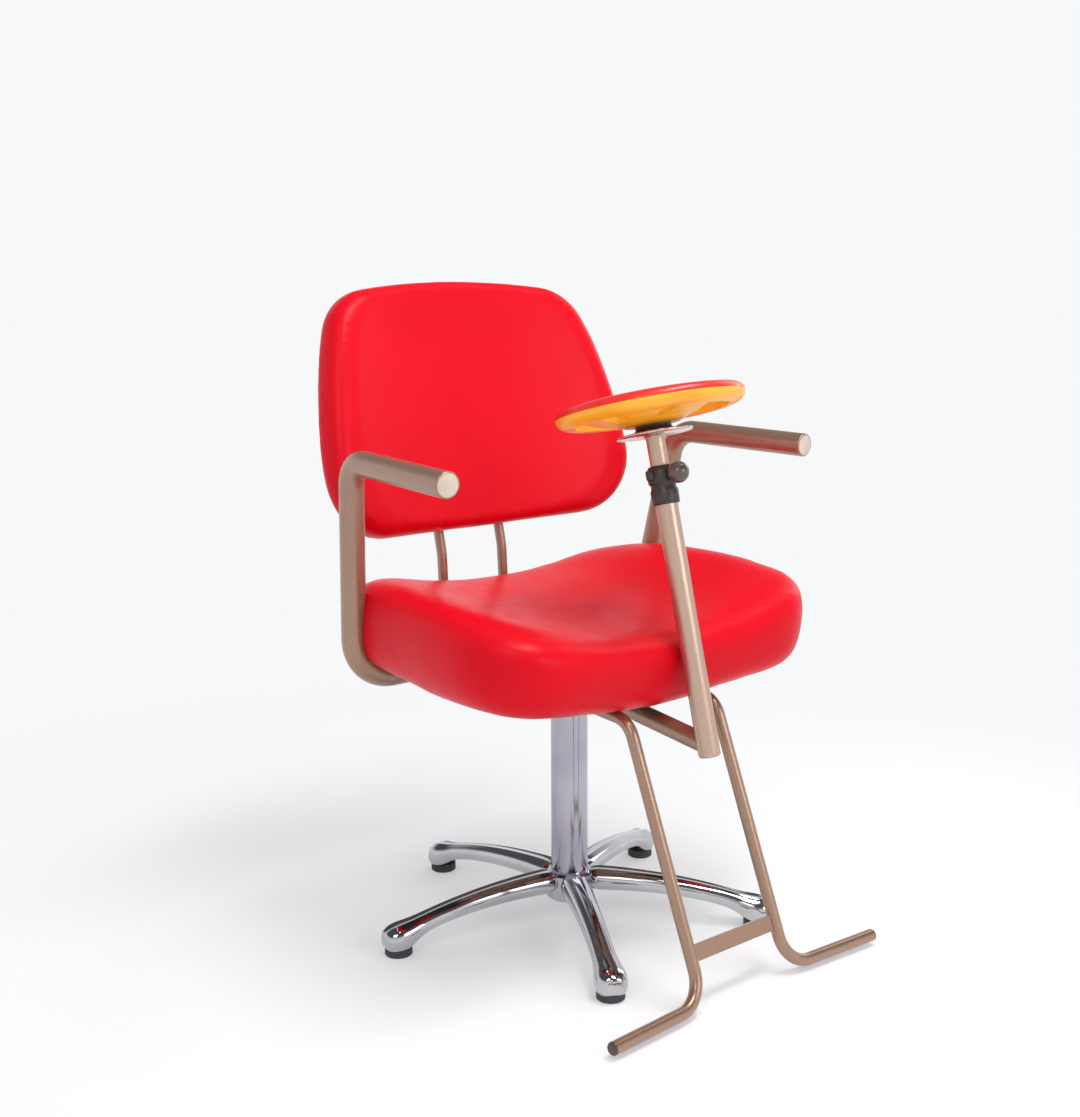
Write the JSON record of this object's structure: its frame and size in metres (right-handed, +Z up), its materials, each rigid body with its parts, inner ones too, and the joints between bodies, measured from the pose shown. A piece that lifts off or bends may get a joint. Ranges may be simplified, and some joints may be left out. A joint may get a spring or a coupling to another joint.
{
  "type": "child barber chair",
  "caption": "Child barber chair: dished red seat and curved back on a chromed swivel lift base, with tube arms, a footrest and a toy steering wheel on a mast.",
  "frame": {"origin": "on the floor, straight under the swivel axis", "axes": "+Z up; the sitter looks towards -Y; +X is the sitter's left"},
  "size_m": [0.6452, 0.6242, 0.8581],
  "materials": {
    "bronze_paint": "satin bronze paint",
    "champagne_chrome": "warm bright plating",
    "chrome": "bright chrome",
    "flange_metal": "satin, light and slightly pink",
    "red_leatherette": "smooth leatherette, light sheen, over foam",
    "plywood": "bare plywood",
    "back_shell": "fine grained black shell",
    "black_rubber": "matte black",
    "black_plastic": "dark, slightly brown, soft sheen",
    "dark_metal": "dark paint, satin",
    "pale_plastic": "cream plastic",
    "steel": "zinc-plated steel",
    "yellow_plastic": "glossy yellow",
    "red_plastic": "glossy red"
  },
  "bodies": {
    "base": {"star_base": "chrome", "glides": "black_rubber", "glide_stems": "steel", "column_tube": "chrome", "column_bush": "black_plastic", "lower_race": "steel", "ball_cage": "steel"},
    "lift_rod": {"upper_race": "steel", "piston_rod": "steel", "rod_clip": "steel"},
    "seat": {"gas_cylinder": "dark_metal", "seat_board": "plywood", "seat_cushion": "red_leatherette", "seat_plate": "bronze_paint", "seat_bolts": "steel", "lift_housing": "bronze_paint", "lever_pin": "steel", "arm_left": "bronze_paint", "arm_right": "bronze_paint", "arm_cap_left": "pale_plastic", "arm_cap_right": "pale_plastic", "backrest_cushion": "red_leatherette", "back_panel": "back_shell", "back_bar_left": "bronze_paint", "back_bar_right": "bronze_paint", "back_bolts": "steel", "footrest_tube_left": "champagne_chrome", "footrest_tube_right": "champagne_chrome", "peg_cap_left": "pale_plastic", "peg_cap_right": "pale_plastic", "footrest_rung": "champagne_chrome", "reach_arm": "bronze_paint", "mast_tube": "champagne_chrome", "clamp_collar": "dark_metal"},
    "valve": {"valve_pin": "steel"},
    "lever": {"lift_lever": "steel", "lever_grip": "black_plastic"},
    "mast_slide": {"slide_tube": "champagne_chrome", "wheel_flange": "flange_metal", "wheel_spindle": "steel", "wheel_washer": "black_plastic", "spindle_nut": "steel"},
    "knob": {"clamp_knob": "black_plastic", "clamp_stud": "steel"},
    "wheel": {"wheel_body": "yellow_plastic", "wheel_cover": "red_plastic", "horn_cap": "red_plastic"}
  },
  "joints": [
    {"name": "seat_swivel", "type": "hinge", "parent": "base", "child": "lift_rod", "pos_m": [0, 0, 0], "axis": [0, 0, 1], "continuous": true},
    {"name": "seat_lift", "type": "slide", "parent": "lift_rod", "child": "seat", "axis": [0, 0, 1], "range_m": [0, 0.1]},
    {"name": "lever_tilt", "type": "hinge", "parent": "seat", "child": "lever", "pos_m": [0.03, 0, 0.349], "axis": [0, -1, 0], "range_deg": [0, 8], "stiffness_Nm_per_rad": 6, "springref_deg": -6.88},
    {"name": "valve_press", "type": "slide", "parent": "seat", "child": "valve", "axis": [0, 0, -1], "range_m": [0, 0.0042]},
    {"name": "mast_height", "type": "slide", "parent": "seat", "child": "mast_slide", "axis": [0, 0.2487, 0.9686], "range_m": [-0.035, 0.06]},
    {"name": "knob_turn", "type": "hinge", "parent": "seat", "child": "knob", "pos_m": [0, -0.17121, 0.62599], "axis": [0, -0.9686, 0.2487], "range_deg": [0, 360]},
    {"name": "wheel_spin", "type": "hinge", "parent": "mast_slide", "child": "wheel", "pos_m": [0, -0.1502, 0.70784], "axis": [0, 0.2487, 0.9686], "continuous": true}
  ],
  "couplings": [
    {"joint": "valve_press", "follows": "lever_tilt", "m_per_rad": 0.03}
  ]
}
